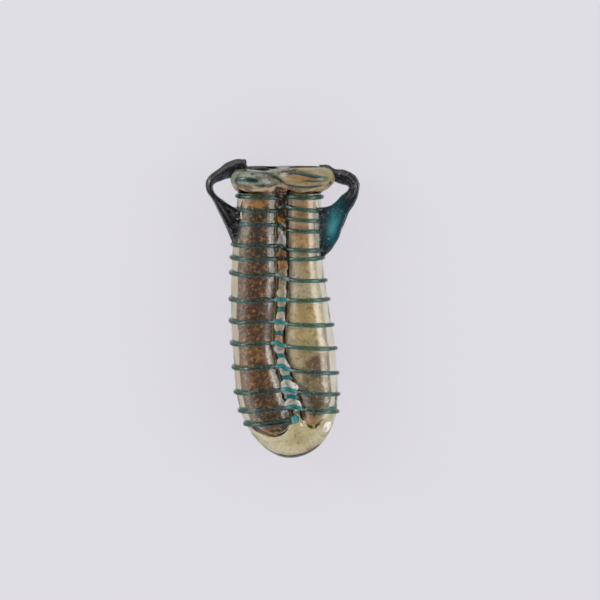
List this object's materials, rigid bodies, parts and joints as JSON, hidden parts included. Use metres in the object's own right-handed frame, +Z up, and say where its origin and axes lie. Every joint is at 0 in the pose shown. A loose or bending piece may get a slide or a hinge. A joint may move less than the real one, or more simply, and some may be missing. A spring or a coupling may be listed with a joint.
{
  "type": "double kohl tube",
  "caption": "Ancient blown glass cosmetic vessel of two joined tubes with a rolled rim, thick round base, applied spiral thread and side handles broken at the rim, lying on its back.",
  "frame": {"origin": "centre of the bounding box in plan, on the surface that the vessel lies on", "axes": "+Y along the tubes from the base to the mouths, +X across both tubes to the right as seen from the front, +Z up out of the vessel's front"},
  "size_m": [0.0616, 0.1202, 0.0229],
  "materials": {
    "body_glass": "pale yellow-green blown glass, weathered, with crust inside",
    "applied_glass": "dark blue-green glass, fire polished"
  },
  "bodies": {
    "root": {"tube_body": "body_glass", "spiral_trail": "applied_glass", "left_handle": "applied_glass", "right_handle": "applied_glass"}
  },
  "joints": []
}
